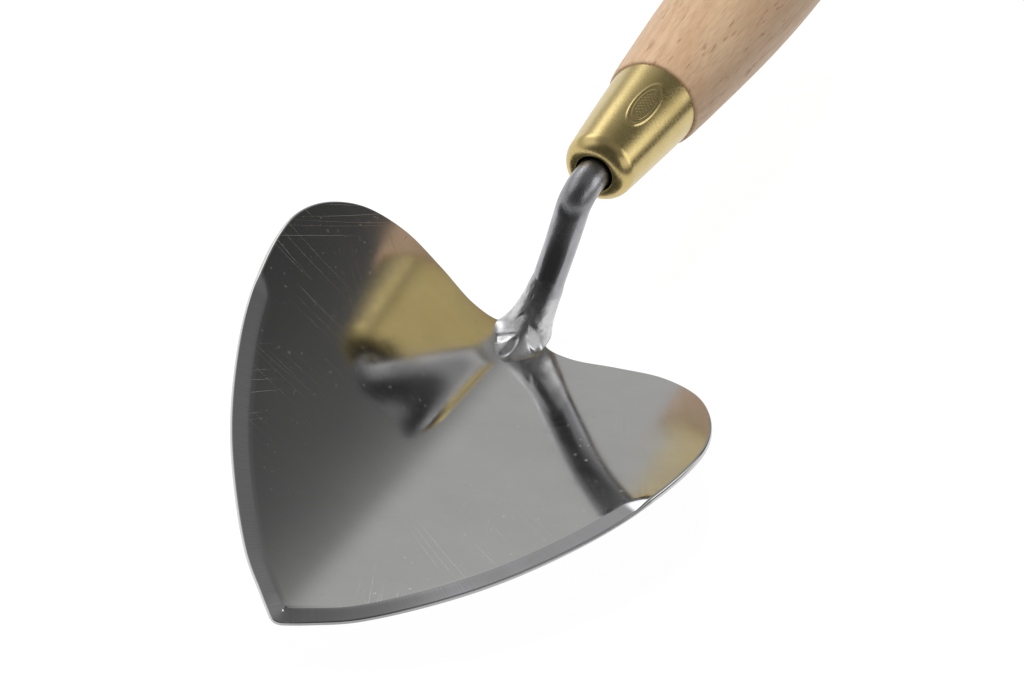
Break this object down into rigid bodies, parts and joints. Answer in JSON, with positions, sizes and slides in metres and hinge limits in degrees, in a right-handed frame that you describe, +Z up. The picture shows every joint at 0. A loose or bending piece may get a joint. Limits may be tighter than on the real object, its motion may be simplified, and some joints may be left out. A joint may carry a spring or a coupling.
{
  "type": "hand trowel",
  "caption": "Hand trowel with a dished heart-shaped polished steel blade, a cranked round neck, a tapered brass ferrule and a turned beech handle.",
  "frame": {"origin": "bottom centre of the bounding box: under the middle of the tool's length, on its plane of symmetry, level with the lowest point of the blade's tongue", "axes": "+X from the handle's butt to the blade's tip, along the handle's axis; +Z up, out of the hollow side of the blade; +Y to the tool's left"},
  "size_m": [0.2706, 0.11, 0.0657],
  "materials": {
    "polished_steel": "mirror polished stainless steel, finely scratched",
    "bar_steel": "round stainless bar, darker and lightly pitted",
    "ground_weld": "weld ground and buffed bright",
    "brass": "satin",
    "beech": "smooth sanded, lightly oiled"
  },
  "bodies": {
    "root": {"blade": "polished_steel", "neck": "bar_steel", "weld": "ground_weld", "ferrule": "brass", "handle": "beech"}
  },
  "joints": []
}
